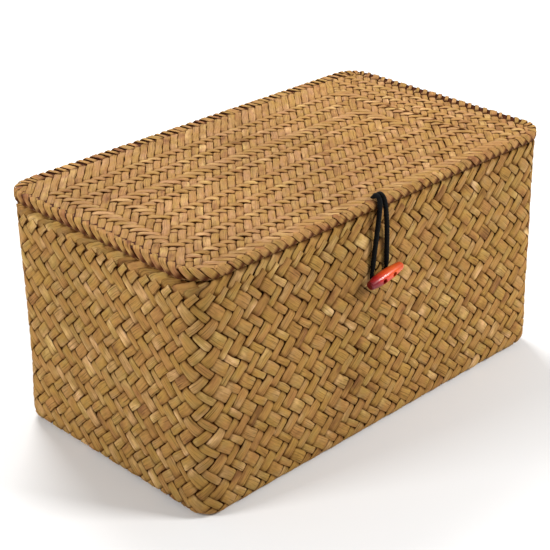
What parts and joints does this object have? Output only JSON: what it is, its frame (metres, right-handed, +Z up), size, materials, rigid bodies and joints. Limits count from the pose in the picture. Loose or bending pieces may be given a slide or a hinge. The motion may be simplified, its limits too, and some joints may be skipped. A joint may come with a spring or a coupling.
{
  "type": "lidded woven storage basket",
  "caption": "Rectangular double-walled woven basket with a hinged lid held shut by an elastic loop over a wooden toggle.",
  "frame": {"origin": "middle of the basket's underside, where it stands", "axes": "+X along the long side, -Y towards the toggle, +Z up"},
  "size_m": [0.32, 0.1963, 0.1694],
  "materials": {
    "body_weave": "dry woven seagrass strips",
    "lining_weave": "dry woven seagrass strips",
    "lid_weave": "dry woven seagrass strips",
    "border_weave": "dry folded seagrass strips",
    "black_cord": "braided elastic",
    "toggle_lacquer": "glossy red lacquer",
    "dark_thread": "waxed thread"
  },
  "bodies": {
    "basket": {"body_outer_weave": "body_weave", "body_lining_weave": "lining_weave", "body_rim_fold": "body_weave", "hinge_tie_left": "black_cord", "hinge_tie_right": "black_cord"},
    "lid": {"lid_top_weave": "lid_weave", "lid_underside_weave": "lining_weave", "lid_border_fold": "border_weave", "closing_loop_knot": "black_cord"},
    "loop": {"closing_loop": "black_cord"},
    "toggle": {"toggle": "toggle_lacquer", "toggle_thread": "dark_thread"}
  },
  "joints": [
    {"name": "lid_hinge", "type": "hinge", "parent": "basket", "child": "lid", "pos_m": [0, 0.091, 0.15785], "axis": [-1, 0, 0], "range_deg": [0, 180]},
    {"name": "loop_swing", "type": "hinge", "parent": "lid", "child": "loop", "pos_m": [-0.0095, -0.091, 0.162], "axis": [-1, 0, 0], "range_deg": [0, 80], "deforming": ["closing_loop"]},
    {"name": "toggle_turn", "type": "hinge", "parent": "basket", "child": "toggle", "pos_m": [-0.0093, -0.0957, 0.1147], "axis": [0, -1, 0], "range_deg": [-40, 40], "deforming": ["toggle_thread"]}
  ]
}
